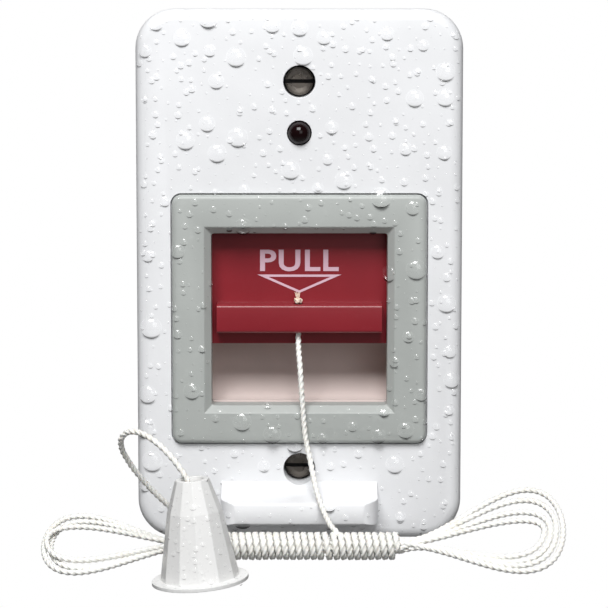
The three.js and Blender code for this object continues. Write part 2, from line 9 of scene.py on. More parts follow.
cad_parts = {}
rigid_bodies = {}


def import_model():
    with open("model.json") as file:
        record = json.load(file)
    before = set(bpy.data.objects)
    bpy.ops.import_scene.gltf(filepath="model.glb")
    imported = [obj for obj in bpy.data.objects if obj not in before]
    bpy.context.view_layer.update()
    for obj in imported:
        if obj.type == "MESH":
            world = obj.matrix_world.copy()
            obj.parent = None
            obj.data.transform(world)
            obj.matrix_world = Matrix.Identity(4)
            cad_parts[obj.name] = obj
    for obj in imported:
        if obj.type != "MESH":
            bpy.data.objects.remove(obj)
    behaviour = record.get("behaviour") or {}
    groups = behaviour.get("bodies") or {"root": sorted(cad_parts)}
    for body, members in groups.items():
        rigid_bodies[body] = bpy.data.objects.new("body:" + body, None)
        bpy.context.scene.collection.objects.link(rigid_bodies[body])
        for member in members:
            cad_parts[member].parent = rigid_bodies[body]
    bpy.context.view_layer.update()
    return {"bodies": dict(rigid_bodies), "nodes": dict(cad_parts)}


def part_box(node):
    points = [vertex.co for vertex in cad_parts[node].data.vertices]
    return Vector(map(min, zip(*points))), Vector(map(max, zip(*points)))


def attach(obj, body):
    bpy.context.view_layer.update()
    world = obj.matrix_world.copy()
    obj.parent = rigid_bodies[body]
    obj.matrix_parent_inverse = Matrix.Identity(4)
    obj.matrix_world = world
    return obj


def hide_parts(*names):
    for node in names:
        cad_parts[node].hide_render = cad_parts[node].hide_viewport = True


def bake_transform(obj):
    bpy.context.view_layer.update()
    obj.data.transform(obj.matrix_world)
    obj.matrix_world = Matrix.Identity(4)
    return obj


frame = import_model()
nodes = frame["nodes"]

# ---- Camera
# The switch is looked at squarely from the front, from about half a metre away.
# The eye is level with the lamp, so the shelf's top and the bell's cup are just seen from above.
camera_data = bpy.data.cameras.new("camera")
camera_data.sensor_width = 36
camera_data.lens = 133.6
camera_data.shift_y = -0.1
camera_data.clip_start = 0.02
camera = bpy.data.objects.new("camera", camera_data)
camera.location = (0.001, -0.4918, 0.110)
camera.rotation_euler = (math.radians(84.57), 0, 0)
bpy.context.scene.collection.objects.link(camera)
bpy.context.scene.camera = camera

# ---- Studio
# A pale painted floor well below the switch, and an even white room around it.
# One broad soft light hangs above and in front, and a weak one fills in from the right.


def linear(*shades):
    """A colour given as 0 to 255 screen shades, as the shader wants it."""
    parts = [s / 255 for s in shades]
    return tuple(p / 12.92 if p <= 0.04045 else ((p + 0.055) / 1.055) ** 2.4 for p in parts) + (1.0,)


def by_camera_ray(tree, unseen, seen_value, socket):
    """A strength that is one number for the light given off and another where the lens looks straight at it."""
    ray = tree.nodes.new("ShaderNodeLightPath")
    level = tree.nodes.new("ShaderNodeMapRange")
    level.inputs["To Min"].default_value = unseen
    level.inputs["To Max"].default_value = seen_value
    tree.links.new(ray.outputs["Is Camera Ray"], level.inputs["Value"])
    tree.links.new(level.outputs["Result"], socket)


def studio_floor():
    """A wide pale disc that looks white to the lens but throws little light back up."""
    reach, height, sides = 3.0, -1.1, 96
    turns = [2 * math.pi * i / sides for i in range(sides)]
    mesh = bpy.data.meshes.new("studio_floor")
    rim = [(reach * math.cos(t), reach * math.sin(t), height) for t in turns]
    mesh.from_pydata(rim, [], [tuple(range(sides))])
    floor = bpy.data.objects.new("studio_floor", mesh)
    bpy.context.scene.collection.objects.link(floor)
    paint = bpy.data.materials.new("floor_paint")
    paint.use_nodes = True
    shader = paint.node_tree.nodes["Principled BSDF"]
    shader.inputs["Base Color"].default_value = (0.8, 0.8, 0.8, 1)
    shader.inputs["Roughness"].default_value = 0.9
    shader.inputs["Emission Color"].default_value = (1, 1, 1, 1)
    by_camera_ray(paint.node_tree, 0.02, 0.95, shader.inputs["Emission Strength"])
    mesh.materials.append(paint)


def soft_light(name, place, aim, width, height, power):
    """A rectangular soft box turned to face its aim."""
    data = bpy.data.lights.new(name, "AREA")
    data.shape = "RECTANGLE"
    data.size = width
    data.size_y = height
    data.energy = power
    lamp = bpy.data.objects.new(name, data)
    lamp.location = place
    lamp.rotation_euler = (Vector(aim) - Vector(place)).to_track_quat("-Z", "Y").to_euler()
    bpy.context.scene.collection.objects.link(lamp)


studio_floor()
world = bpy.data.worlds.new("pale_room")
bpy.context.scene.world = world
world.use_nodes = True
room = world.node_tree.nodes["Background"]
room.inputs["Color"].default_value = (1, 1, 1, 1)
by_camera_ray(world.node_tree, 0.08, 1.0, room.inputs["Strength"])
soft_light("key_softbox", (-0.08, -0.62, 0.74), (0, 0, 0.05), 0.52, 0.42, 10.3)
soft_light("front_softbox", (0.3, -0.95, 0.3), (0, 0, 0.05), 0.5, 0.5, 1.4)
bpy.context.scene.view_settings.view_transform = "Standard"

# ---- Pull cord
# One length of limp white cord, three strands laid together, knotted above the bar it hangs from.
# Coiled for packing it runs through the wrap again and again and makes four loops right, three left.


def smooth_path(points, step):
    """Points one step apart on a smooth curve through the given ones."""
    held = np.array(points, float)
    chord = np.linalg.norm(np.diff(held, axis=0), axis=1)
    reach = np.concatenate(([0], np.cumsum(chord)))
    slope = np.gradient(held, reach, axis=0)
    fine = []
    for i, span in enumerate(chord):
        u = np.linspace(0, 1, max(3, int(span / step * 4)), endpoint=False)[:, None]
        a, b = 2 * u**3 - 3 * u**2 + 1, (u**3 - 2 * u**2 + u) * span
        c, d = 3 * u**2 - 2 * u**3, (u**3 - u**2) * span
        fine.append(a * held[i] + b * slope[i] + c * held[i + 1] + d * slope[i + 1])
    fine = np.concatenate(fine + [held[-1:]])
    run = np.concatenate(([0], np.cumsum(np.linalg.norm(np.diff(fine, axis=0), axis=1))))
    even = np.linspace(0, run[-1], int(run[-1] / step) + 1)
    return np.stack([np.interp(even, run, fine[:, k]) for k in range(3)], axis=1)


def laid_cord(name, path, width, lay_length, sides=12, swell=None):
    """A closed skin of three twisted strands round a path, with its length and turn as its UV map."""
    tangent = np.gradient(path, axis=0)
    tangent /= np.linalg.norm(tangent, axis=1)[:, None]
    side = np.cross(tangent[0], (0.3, 0.2, 0.9))
    across = np.zeros_like(path)
    for i, along in enumerate(tangent):
        side = side - along * side.dot(along)
        side /= np.linalg.norm(side)
        across[i] = side
    upright = np.cross(tangent, across)
    run = np.concatenate(([0], np.cumsum(np.linalg.norm(np.diff(path, axis=0), axis=1))))
    turn = np.arange(sides) * 2 * math.pi / sides
    laid_radius, strand_share, groove_share = 0.56, 0.464, 0.37
    strand = strand_share * width * laid_radius
    off = (turn + math.pi / 3) % (2 * math.pi / 3) - math.pi / 3
    centre = 0.536 * width * laid_radius
    ring = centre * np.cos(off) + np.sqrt(np.maximum(strand**2 - (centre * np.sin(off)) ** 2, 0))
    ring = np.maximum(ring, groove_share * width)
    angle = turn[None, :] + (2 * math.pi * run / lay_length)[:, None]
    fullness = np.ones(len(path)) if swell is None else swell
    skin = path[:, None, :] + (fullness[:, None] * ring[None, :])[:, :, None] * (
        np.cos(angle)[:, :, None] * across[:, None, :] + np.sin(angle)[:, :, None] * upright[:, None, :]
    )
    count = len(path)
    points = np.concatenate([skin.reshape(-1, 3), path[:1], path[-1:]])
    first, last = count * sides, count * sides + 1
    faces, turns = [], []
    for i in range(count - 1):
        for j in range(sides):
            k = (j + 1) % sides
            faces.append((i * sides + j, i * sides + k, (i + 1) * sides + k, (i + 1) * sides + j))
            turns.append(((run[i], j), (run[i], j + 1), (run[i + 1], j + 1), (run[i + 1], j)))
    for j in range(sides):
        k = (j + 1) % sides
        faces.append((first, k, j))
        faces.append((last, (count - 1) * sides + j, (count - 1) * sides + k))
        turns.append(((run[0], j), (run[0], j + 1), (run[0], j)))
        turns.append(((run[-1], j), (run[-1], j), (run[-1], j + 1)))
    mesh = bpy.data.meshes.new(name)
    mesh.from_pydata(points.tolist(), [], faces)
    layer = mesh.uv_layers.new(name="along_cord")
    flat = [value for face in turns for along, j in face for value in (along * 100, j / sides)]
    layer.data.foreach_set("uv", flat)
    mesh.polygons.foreach_set("use_smooth", [True] * len(mesh.polygons))
    piece = bpy.data.objects.new(name, mesh)
    bpy.context.scene.collection.objects.link(piece)
    return piece


def cord_yarn(name, colour, shade):
    """Soft matt yarn: filaments that follow the strands, and handled places that are duller."""
    material = bpy.data.materials.new(name)
    material.use_nodes = True
    tree = material.node_tree
    shader = tree.nodes["Principled BSDF"]
    where = tree.nodes.new("ShaderNodeTexCoord")
    strand_map = tree.nodes.new("ShaderNodeMapping")
    strand_map.inputs["Scale"].default_value = (60, 26, 1)
    tree.links.new(where.outputs["UV"], strand_map.inputs["Vector"])
    filaments = tree.nodes.new("ShaderNodeTexNoise")
    filaments.inputs["Scale"].default_value = 1
    filaments.inputs["Detail"].default_value = 4
    tree.links.new(strand_map.outputs["Vector"], filaments.inputs["Vector"])
    soil = tree.nodes.new("ShaderNodeTexNoise")
    soil.inputs["Scale"].default_value = 140
    soil.inputs["Detail"].default_value = 3
    tree.links.new(where.outputs["Object"], soil.inputs["Vector"])
    blend = tree.nodes.new("ShaderNodeMixRGB")
    blend.inputs["Color1"].default_value = linear(*shade)
    blend.inputs["Color2"].default_value = linear(*colour)
    spread = tree.nodes.new("ShaderNodeMapRange")
    spread.inputs["From Min"].default_value = 0.3
    spread.inputs["From Max"].default_value = 0.6
    tree.links.new(filaments.outputs["Fac"], spread.inputs["Value"])
    tree.links.new(spread.outputs["Result"], blend.inputs["Fac"])
    dull = tree.nodes.new("ShaderNodeMixRGB")
    dull.blend_type = "MULTIPLY"
    dull.inputs["Color2"].default_value = (0.91, 0.89, 0.86, 1)
    soiled = tree.nodes.new("ShaderNodeMapRange")
    soiled.inputs["From Min"].default_value = 0.5
    soiled.inputs["From Max"].default_value = 0.75
    tree.links.new(soil.outputs["Fac"], soiled.inputs["Value"])
    tree.links.new(soiled.outputs["Result"], dull.inputs["Fac"])
    tree.links.new(blend.outputs["Color"], dull.inputs["Color1"])
    tree.links.new(dull.outputs["Color"], shader.inputs["Base Color"])
    bump = tree.nodes.new("ShaderNodeBump")
    bump.inputs["Strength"].default_value = 0.6
    bump.inputs["Distance"].default_value = 0.00008
    tree.links.new(filaments.outputs["Fac"], bump.inputs["Height"])
    tree.links.new(bump.outputs["Normal"], shader.inputs["Normal"])
    shader.inputs["Roughness"].default_value = 0.85
    shader.inputs["Sheen Weight"].default_value = 0.25
    shader.inputs["Sheen Roughness"].default_value = 0.5
    shader.inputs["Subsurface Weight"].default_value = 0.12
    shader.inputs["Subsurface Radius"].default_value = (0.0006, 0.0005, 0.0004)
    return material


cord_width = 0.00115
cord_lay = 0.0042
cord_step = 0.0003
wall_to_frame = 2.2


def in_frame(points):
    """Places drawn from the wall plane in millimetres, as places in the frame in metres."""
    return [(x * 0.001, (y + wall_to_frame) * 0.001, z * 0.001) for x, y, z in points]


cord_white = cord_yarn("cord_white_yarn", (254, 254, 250), (234, 232, 224))
drop_route = in_frame([
    (-0.24, -12, 50.9), (-0.24, -12, 47), (-0.24, -12, 44.6), (-0.2, -12.5, 42.7), (-0.1, -13.7, 41),
    (0.05, -15, 39.3), (0.2, -15.95, 37.2), (0.35, -16.4, 34.6), (0.55, -16.55, 31.4), (0.75, -16.6, 28.5),
    (1, -16.6, 25.6), (1.28, -16.7, 23), (1.75, -16.95, 20.6), (2.38, -17.9, 17.9), (2.95, -19.7, 15.2),
    (3.6, -21.9, 12.6), (4.4, -24, 10.4), (5.2, -26.2, 8.7), (6.1, -28.6, 7.3), (6.7, -30.4, 6.6),
])
wrap_axis = (-0.0305, 0.0029)
wrap_ends = (-0.0222, 0.0210)
core_radius = 0.00112


def core_place(number, x):
    """Where strand number lies in the wrap's core: one in the middle and seven round it."""
    if number == 7:
        return (x, wrap_axis[0], wrap_axis[1])
    turn = 2 * math.pi * number / 7
    return (x, wrap_axis[0] - core_radius * math.sin(turn), wrap_axis[1] + core_radius * math.cos(turn))


def loop_route(tip, across, widths, lift, strand_out, strand_back, start_x):
    """One teardrop loop from the wrap's end to its tip and back, in the plane of tip and across."""
    base = np.array((start_x, wrap_axis[0], wrap_axis[1]))
    along = np.array(tip) - base
    across = np.array(across, float)
    across /= np.linalg.norm(across)
    face = np.cross(along, across)
    face /= np.linalg.norm(face)
    if face[2] < 0:
        face = -face
    pinch = 2.4
    widest = max(math.sin(t) * math.sin(t / 2) ** pinch for t in np.linspace(0, math.pi, 200))
    route = []
    for t in np.linspace(0, 2 * math.pi, 33)[1:-1]:
        share = (1 - math.cos(t)) / 2
        bulge = widths[0 if t < math.pi else 1] * math.sin(t) * math.sin(t / 2) ** pinch / widest
        place = base + along * share - across * bulge + face * lift * share ** 0.5
        near = max(0.0, 1 - share * 4) ** 2
        strand = core_place(strand_out if t < math.pi else strand_back, start_x)
        place = place + (np.array(strand) - base) * near
        route.append(tuple(place))
    return route


right_across = (0, -0.82, -0.58)
left_across = (0, -0.94, -0.335)
right_loops = [
    ((0.0548, -0.0308, 0.0072), (0.0113, 0.0110), 0.0),
    ((0.0534, -0.0310, 0.0070), (0.0084, 0.0094), 0.0002),
    ((0.0521, -0.0313, 0.0068), (0.0056, 0.0079), -0.0002),
    ((0.0508, -0.0315, 0.0066), (0.0032, 0.0064), 0.0001),
]
left_loops = [
    ((-0.0527, -0.0328, 0.0039), (0.0109, 0.0106), 0.0),
    ((-0.0513, -0.0326, 0.0038), (0.0086, 0.0091), 0.0001),
    ((-0.0521, -0.0332, 0.0040), (0.0050, 0.0077), 0.0012),
]
entry = [(0.0073, -0.0295, 0.0062), (0.0081, -0.0303, 0.0054), (0.0095, -0.0306, 0.0046)]
entry += [core_place(0, x) for x in (0.0125, 0.017, wrap_ends[1])]
cord_route = list(drop_route) + entry
for number, (tip, widths, lift) in enumerate(right_loops):
    going, coming = (0, 1) if number == 0 else (2 * number, 2 * number + 1)
    cord_route += loop_route(tip, right_across, widths, lift, going, coming, wrap_ends[1])
    if number == 3:
        cord_route += [core_place(coming, wrap_ends[1] - 0.001), core_place(coming, wrap_ends[1] - 0.004)]
        break
    leftward = (wrap_ends[1] - 0.001, 0.012, 0.0, -0.012, wrap_ends[0] + 0.001)
    cord_route += [core_place(coming, x) for x in leftward]
    tip, widths, lift = left_loops[number]
    onward = 2 * number + 2
    cord_route += loop_route(tip, left_across, widths, lift, coming, onward, wrap_ends[0])
    cord_route += [core_place(onward, x) for x in reversed(leftward)]
cord_path = smooth_path(cord_route, cord_step)
pull_cord = laid_cord("pull_cord", cord_path, cord_width, cord_lay)
pull_cord.data.materials.append(cord_white)


def tied_knot(name, centre, radius, width, tails=0):
    """A pulled-up overhand knot of the cord, with a few yarn ends standing out where it is cut off."""
    middle = np.array(centre)
    route = []
    for t in np.linspace(0, 2 * math.pi, 40):
        x, y = math.sin(t) + 2 * math.sin(2 * t), math.cos(t) - 2 * math.cos(2 * t)
        route.append(middle + np.array((x, y, -1.2 * math.sin(3 * t))) * radius * 0.24)
    piece = laid_cord(name, smooth_path(route, cord_step * 0.6), width, cord_lay * 0.7)
    shape = bmesh.new()
    shape.from_mesh(piece.data)
    for i in range(tails):
        turn = 2.4 * i
        lean = 0.1 + 0.5 * ((i * 7) % 5) / 5
        out = Vector((math.cos(turn) * lean, math.sin(turn) * lean, 1)).normalized()
        long = radius * (1.3 + 0.9 * ((i * 3) % 4) / 4)
        yarn = bmesh.ops.create_cone(shape, cap_ends=True, segments=6, radius1=width * 0.22,
                                     radius2=width * 0.05, depth=long)
        foot = Vector(centre) + Vector((out.x, out.y, 0)) * radius * 0.35 + Vector((0, 0, radius * 0.2))
        place = Matrix.Translation(foot + out * long / 2) @ out.to_track_quat("Z", "Y").to_matrix().to_4x4()
        bmesh.ops.transform(shape, matrix=place, verts=yarn["verts"])
    shape.to_mesh(piece.data)
    shape.free()
    return piece


knot_low, knot_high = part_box("slide_knot")
knot_middle = (knot_low + knot_high) / 2
knot_seat = Vector((knot_middle.x, knot_middle.y, knot_low.z + 0.0006))
slide_knot = tied_knot("slide_knot_tied", knot_seat, 0.00092, 0.00075, tails=16)
cord_cream = cord_yarn("cord_cut_end_yarn", (250, 232, 214), (222, 196, 176))
slide_knot.data.materials.append(cord_cream)
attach(slide_knot, "slide")
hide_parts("slide_knot")
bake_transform(pull_cord)
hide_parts("cord_drop", "cord_loops_right", "cord_loops_left")

# ---- Wrap and bell cord
# The far end of the same cord, wound in a close coil round the hank from right to left.
# It leaves the left end, arches up and drops into the bell, where a knot holds it.
tail_route = in_frame([
    (-23, -32.8, 7.6), (-25, -33.7, 9.5), (-27.4, -35.2, 12.3), (-30.1, -37, 15.4),
    (-32.6, -39, 18.8), (-34.7, -41.4, 22.4), (-35.9, -44, 25.8), (-35.8, -45.7, 27.8),
    (-34.5, -47.2, 29.4), (-32.2, -49, 29.8), (-29.2, -51, 28.7), (-25.7, -52.7, 25.9),
    (-23.6, -53.4, 23.4), (-21.9, -53.7, 20.6), (-21.1, -53.8, 17.6), (-20.8, -53.8, 16),
    (-20.65, -53.8, 14.1),
])
wrap_turns = 29.2
wrap_radius = 0.00228
gap_at, gap_width, gap_sharpness = 0.0058, 0.0005, 4000


def wrap_route():
    """The coil from right to left, a little uneven, that opens by one gap where the drop cord comes in."""
    route = []
    steps = int(wrap_turns * 18)
    for i in range(steps + 1):
        share = i / steps
        turn = 2 * math.pi * (wrap_turns * (1 - share) + 0.22)
        tuck = min(1.0, 0.45 + i / 14)
        radius = wrap_radius * tuck * (1 + 0.03 * math.sin(i * 0.9) * math.sin(i * 0.13))
        x = wrap_ends[1] - 0.0006 + (wrap_ends[0] - wrap_ends[1] + 0.0014) * share
        x -= gap_width * (1 / (1 + math.exp((x - gap_at) * gap_sharpness)) - 0.5)
        route.append((x, wrap_axis[0] - radius * math.sin(turn), wrap_axis[1] + radius * math.cos(turn)))
    return route


bell_route = wrap_route() + [(-0.0213, -0.0325, 0.0053), (-0.0219, -0.0314, 0.0066)] + tail_route
bell_path = smooth_path(bell_route, cord_step)
off_axis = np.hypot(bell_path[:, 1] - wrap_axis[0], bell_path[:, 2] - wrap_axis[1])
pressed = 1 + 0.13 * np.clip((0.0027 - off_axis) / 0.0003, 0, 1)
bell_cord = laid_cord("bell_cord", bell_path, cord_width, cord_lay, swell=pressed)
bell_cord.data.materials.append(cord_white)

# ---- Bell pendant
# A faceted bell of white moulded plastic with a flat rim, hung on the cord's end as a handle.
# The cord passes through its small top cup and is knotted inside the hollow.


def moulded(name, colour, rough, grain=1500, depth=0.00002, blotch=0.035, scuff=0.5, metal=0.0,
            flow=(1, 1, 1)):
    """Moulded or rolled stock: fine surface grain, slightly uneven shade, and faint duller scuffs."""
    material = bpy.data.materials.new(name)
    material.use_nodes = True
    tree = material.node_tree
    shader = tree.nodes["Principled BSDF"]
    where = tree.nodes.new("ShaderNodeTexCoord")
    stretch = tree.nodes.new("ShaderNodeMapping")
    stretch.inputs["Scale"].default_value = flow
    tree.links.new(where.outputs["Object"], stretch.inputs["Vector"])

    def noise(scale, detail, vector):
        node = tree.nodes.new("ShaderNodeTexNoise")
        node.inputs["Scale"].default_value = scale
        node.inputs["Detail"].default_value = detail
        tree.links.new(vector, node.inputs["Vector"])
        return node.outputs["Fac"]

    def spread(value, low, high, to_low, to_high):
        node = tree.nodes.new("ShaderNodeMapRange")
        limits = {"From Min": low, "From Max": high, "To Min": to_low, "To Max": to_high}
        for socket, number in limits.items():
            node.inputs[socket].default_value = number
        tree.links.new(value, node.inputs["Value"])
        return node.outputs["Result"]

    def tint(kind, fac, first, second):
        node = tree.nodes.new("ShaderNodeMixRGB")
        node.blend_type = kind
        tree.links.new(fac, node.inputs["Fac"])
        for socket, value in (("Color1", first), ("Color2", second)):
            if isinstance(value, tuple):
                node.inputs[socket].default_value = value
            else:
                tree.links.new(value, node.inputs[socket])
        return node.outputs["Color"]

    fine = noise(grain, 3, stretch.outputs["Vector"])
    broad = noise(70, 3, where.outputs["Object"])
    scratch = noise(420, 5, stretch.outputs["Vector"])
    base = linear(*colour)
    darker = tuple(c * (1 - 2 * blotch) for c in base[:3]) + (1.0,)
    paler = tuple(min(1.0, c * (1 + scuff * 0.12) + scuff * 0.012) for c in base[:3]) + (1.0,)
    shade = tint("MIX", spread(broad, 0.35, 0.65, 0, 1), darker, base)
    worn = spread(scratch, 0.62, 0.74, 0, 1)
    rubbed = tint("MIX", spread(scratch, 0.62, 0.76, 0, scuff), shade, paler)
    tree.links.new(rubbed, shader.inputs["Base Color"])
    gloss = tree.nodes.new("ShaderNodeMath")
    gloss.operation = "ADD"
    tree.links.new(spread(fine, 0.3, 0.7, rough - 0.04, rough + 0.04), gloss.inputs[0])
    tree.links.new(spread(worn, 0, 1, 0, 0.12 * scuff), gloss.inputs[1])
    tree.links.new(gloss.outputs["Value"], shader.inputs["Roughness"])
    bump = tree.nodes.new("ShaderNodeBump")
    bump.inputs["Strength"].default_value = 0.5
    bump.inputs["Distance"].default_value = depth
    tree.links.new(fine, bump.inputs["Height"])
    tree.links.new(bump.outputs["Normal"], shader.inputs["Normal"])
    shader.inputs["Metallic"].default_value = metal
    return material


def eased(node, material, body, ease=0.0002, crease=32, segments=2, smooth=True):
    """The finished look of a CAD piece: its own mesh joined up, with flat faces whole and corners eased."""
    mesh = nodes[node].data.copy()
    mesh.name = node + "_worked"
    spare = mesh.attributes.get("custom_normal")
    if spare:
        mesh.attributes.remove(spare)
    shape = bmesh.new()
    shape.from_mesh(mesh)
    bmesh.ops.remove_doubles(shape, verts=shape.verts, dist=0.000002)
    bmesh.ops.dissolve_limit(shape, angle_limit=math.radians(0.4), verts=shape.verts, edges=shape.edges)
    for face in shape.faces:
        face.smooth = smooth
    for edge in shape.edges:
        edge.smooth = len(edge.link_faces) == 2 and edge.calc_face_angle(0) < math.radians(crease)
    shape.to_mesh(mesh)
    shape.free()
    mesh.materials.clear()
    mesh.materials.append(material)
    piece = bpy.data.objects.new(node + "_worked", mesh)
    bpy.context.scene.collection.objects.link(piece)
    if ease:
        bevel = piece.modifiers.new("eased_corners", "BEVEL")
        bevel.width = ease
        bevel.segments = segments
        bevel.limit_method = "ANGLE"
        bevel.angle_limit = math.radians(crease)
        bevel.use_clamp_overlap = True
        bevel.harden_normals = smooth
    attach(piece, body)
    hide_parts(node)
    return piece


bell_white = moulded("bell_white_plastic", (235, 235, 234), 0.3, grain=900, depth=0.00001, blotch=0.015,
                     scuff=0.05)
bell = eased("bell_pendant", bell_white, "bell", ease=0.00012, crease=14, smooth=False)
knot_low, knot_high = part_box("bell_knot")
bell_knot = tied_knot("bell_knot_tied", (knot_low + knot_high) / 2, 0.00165, cord_width)
bell_knot.data.materials.append(cord_white)
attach(bell_knot, "bell")
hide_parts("bell_knot")
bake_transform(bell_cord)
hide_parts("cord_wrap", "cord_tail")

# ---- Front cover
# The square white cover that faces the room, injection moulded in one with the shelf the cord hangs over.
# Two screws hold it; its face is finely textured and its rim is rounded back to the wall.
cover_white = moulded("cover_white_plastic", (236, 237, 239), 0.42, grain=2600, depth=0.000018, blotch=0.02,
                      scuff=0.3)
eased("front_cover", cover_white, "root", ease=0.00022)

# ---- Bezel and seal
# A satin grey frame let into the cover round the window, with a thin black rubber seal inside it.
bezel_grey = moulded("bezel_grey_plastic", (176, 180, 177), 0.46, grain=2200, depth=0.000015, blotch=0.03)
eased("bezel_frame", bezel_grey, "root", ease=0.0006, segments=4)
seal_black = moulded("seal_black_rubber", (30, 31, 32), 0.7, grain=1800, depth=0.00002)
eased("window_seal", seal_black, "root", ease=0.00008)

# ---- Slide tray with the finger scoop
# The cream moulding behind the window that guides the pull slide.
# Under the bar it is scooped out for a fingertip.
tray_cream = moulded("tray_cream_plastic", (222, 207, 202), 0.36, grain=1400, depth=0.000012, blotch=0.02)
eased("slide_tray", tray_cream, "root", ease=0.0001, crease=40)

# ---- Pull slide
# The red moulding that drops when the cord is pulled.
# It is a flat panel, printed with a word and an arrow, and a raised grip bar that the cord hangs from.
slide_red = moulded("slide_red_plastic", (140, 34, 44), 0.34, grain=1600, depth=0.000012, blotch=0.05)
eased("pull_slide", slide_red, "slide", ease=0.00045, segments=3)
letter_pink = moulded("letter_pink_print", (226, 190, 205), 0.5, grain=2500, depth=0.000006, blotch=0.05)
panel_front = -0.0068


def raised_word(word, left, right, low, high):
    """Printed capital letters, a twentieth of a millimetre proud of the panel."""
    data = bpy.data.curves.new("panel_word", "FONT")
    data.body = word
    data.extrude = 0.00003
    data.offset = 0.024
    data.space_character = 1.1
    data.resolution_u = 4
    raw = bpy.data.objects.new("panel_word_raw", data)
    bpy.context.scene.collection.objects.link(raw)
    bpy.context.view_layer.update()
    mesh = bpy.data.meshes.new_from_object(raw.evaluated_get(bpy.context.evaluated_depsgraph_get()))
    bpy.data.objects.remove(raw)
    spots = np.zeros(len(mesh.vertices) * 3)
    mesh.vertices.foreach_get("co", spots)
    spots = spots.reshape(-1, 3)
    lo, hi = spots.min(0), spots.max(0)
    place = np.empty_like(spots)
    place[:, 0] = left + (spots[:, 0] - lo[0]) / (hi[0] - lo[0]) * (right - left)
    place[:, 1] = panel_front - 0.00002 - spots[:, 2]
    place[:, 2] = low + (spots[:, 1] - lo[1]) / (hi[1] - lo[1]) * (high - low)
    mesh.vertices.foreach_set("co", place.ravel())
    shape = bmesh.new()
    shape.from_mesh(mesh)
    bmesh.ops.remove_doubles(shape, verts=shape.verts, dist=0.000001)
    bmesh.ops.recalc_face_normals(shape, faces=shape.faces)
    shape.to_mesh(mesh)
    shape.free()
    piece = bpy.data.objects.new("panel_word", mesh)
    bpy.context.scene.collection.objects.link(piece)
    return piece


def arrow_outline(half, top, tip, stroke):
    """An open triangle that points down, with the same proud print as the word."""
    slope = math.hypot(half, top - tip)
    inner_tip = tip + stroke * slope / half
    inner_top = top - stroke
    inner_half = half * (inner_top - inner_tip) / (top - tip)
    outer = [(-half, top), (half, top), (0, tip)]
    inner = [(-inner_half, inner_top), (inner_half, inner_top), (0, inner_tip)]
    front, back = panel_front - 0.00005, panel_front + 0.00002
    points = [(x, y, z) for y in (front, back) for x, z in outer + inner]
    faces = []
    for i in range(3):
        j = (i + 1) % 3
        faces += [(i, 3 + i, 3 + j, j), (6 + j, 9 + j, 9 + i, 6 + i)]
        faces += [(i, j, 6 + j, 6 + i), (3 + j, 3 + i, 9 + i, 9 + j)]
    mesh = bpy.data.meshes.new("panel_arrow")
    mesh.from_pydata(points, [], faces)
    shape = bmesh.new()
    shape.from_mesh(mesh)
    bmesh.ops.recalc_face_normals(shape, faces=shape.faces)
    shape.to_mesh(mesh)
    shape.free()
    piece = bpy.data.objects.new("panel_arrow", mesh)
    bpy.context.scene.collection.objects.link(piece)
    return piece


word = raised_word("PULL", -0.0085, 0.0085, 0.0578, 0.0625)
arrow = arrow_outline(0.0091, 0.0571, 0.0531, 0.0005)
for mark in (word, arrow):
    mark.data.materials.append(letter_pink)
    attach(mark, "slide")

# ---- Indicator lamp
# A small smoked dome of clear plastic set in the cover above the window; two leads run back to the board.
lamp_smoke = moulded("lamp_smoked_lens", (22, 7, 8), 0.1, grain=1200, depth=0.000004, scuff=0.05)
lamp_smoke.node_tree.nodes["Principled BSDF"].inputs["Specular IOR Level"].default_value = 0.25
eased("lamp_lens", lamp_smoke, "root", ease=0.00005, crease=40)
lead_steel = moulded("lead_tinned_steel", (196, 196, 192), 0.35, metal=1.0, grain=1500, flow=(1, 8, 1))

# ---- Screws
# Turned steel screws with a single slot: two dark ones hold the cover, four plain ones the housing.
# All come from one head and shank that Geometry Nodes sets out on the marked places.


